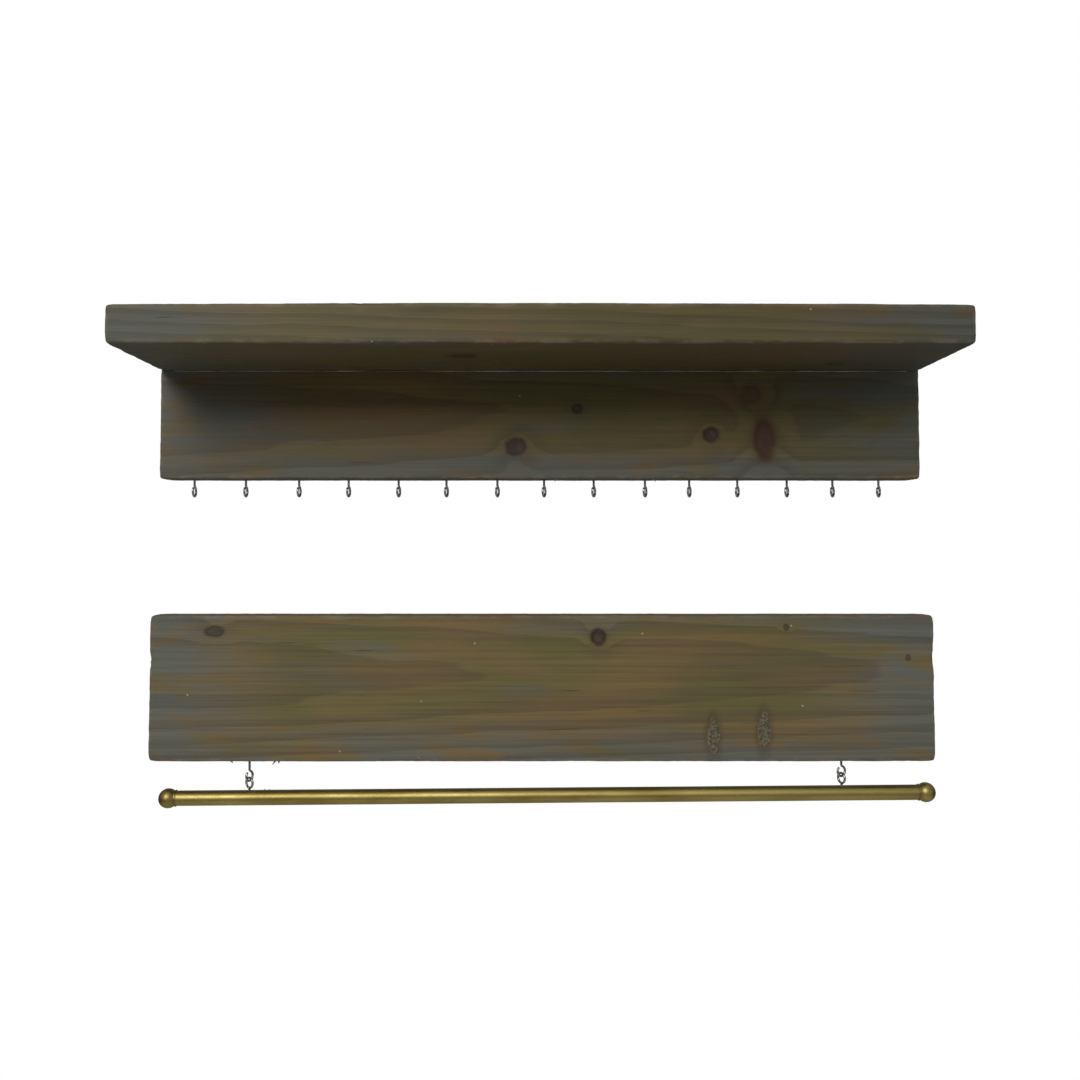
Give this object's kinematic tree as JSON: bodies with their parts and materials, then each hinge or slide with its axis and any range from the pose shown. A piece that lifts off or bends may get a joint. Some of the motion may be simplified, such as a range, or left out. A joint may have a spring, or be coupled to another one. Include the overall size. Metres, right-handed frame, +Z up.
{
  "type": "wall jewellery organiser",
  "caption": "Two-piece wooden wall organiser: a small shelf with necklace hooks under its back board, and a board with a hanging bracelet rod.",
  "frame": {"origin": "on the wall plane, midway between the entry holes of the upper unit's two keyhole hangers", "axes": "+Z up, +Y into the wall, +X to the right as one faces the organiser"},
  "size_m": [0.4128, 0.095, 0.2494],
  "materials": {
    "stained_pine": "grey-brown stained pine, planed, low sheen",
    "nickel_wire": "bright zinc-plated steel wire",
    "satin_brass": "satin brass",
    "hanger_steel": "zinc-plated sheet steel",
    "screw_steel": "zinc-plated wood screw"
  },
  "bodies": {
    "upper_unit": {"shelf_board": "stained_pine", "back_board": "stained_pine", "shelf_screw_1": "screw_steel", "shelf_screw_2": "screw_steel", "shelf_screw_3": "screw_steel", "necklace_hook_01": "nickel_wire", "necklace_hook_02": "nickel_wire", "necklace_hook_03": "nickel_wire", "necklace_hook_04": "nickel_wire", "necklace_hook_05": "nickel_wire", "necklace_hook_06": "nickel_wire", "necklace_hook_07": "nickel_wire", "necklace_hook_08": "nickel_wire", "necklace_hook_09": "nickel_wire", "necklace_hook_10": "nickel_wire", "necklace_hook_11": "nickel_wire", "necklace_hook_12": "nickel_wire", "necklace_hook_13": "nickel_wire", "necklace_hook_14": "nickel_wire", "necklace_hook_15": "nickel_wire", "upper_hanger_left": "hanger_steel", "upper_hanger_right": "hanger_steel", "upper_hanger_left_top_screw": "screw_steel", "upper_hanger_left_bottom_screw": "screw_steel", "upper_hanger_right_top_screw": "screw_steel", "upper_hanger_right_bottom_screw": "screw_steel"},
    "lower_unit": {"rod_board": "stained_pine", "rod_hook_left": "nickel_wire", "rod_hook_right": "nickel_wire", "lower_hanger_left": "hanger_steel", "lower_hanger_right": "hanger_steel", "lower_hanger_left_top_screw": "screw_steel", "lower_hanger_left_bottom_screw": "screw_steel", "lower_hanger_right_top_screw": "screw_steel", "lower_hanger_right_bottom_screw": "screw_steel"},
    "hanging_rod": {"bracelet_rod": "satin_brass", "rod_finial_left": "satin_brass", "rod_finial_right": "satin_brass", "rod_eye_left": "nickel_wire", "rod_eye_right": "nickel_wire"}
  },
  "joints": [
    {"name": "lower_unit_lift", "type": "slide", "parent": "upper_unit", "child": "lower_unit", "axis": [0, 0, 1], "range_m": [0, 0.01]},
    {"name": "rod_swing", "type": "hinge", "parent": "lower_unit", "child": "hanging_rod", "pos_m": [0.00295, -0.0095, -0.19436], "axis": [-1, 0, -0.0077], "range_deg": [-22, 30]}
  ]
}
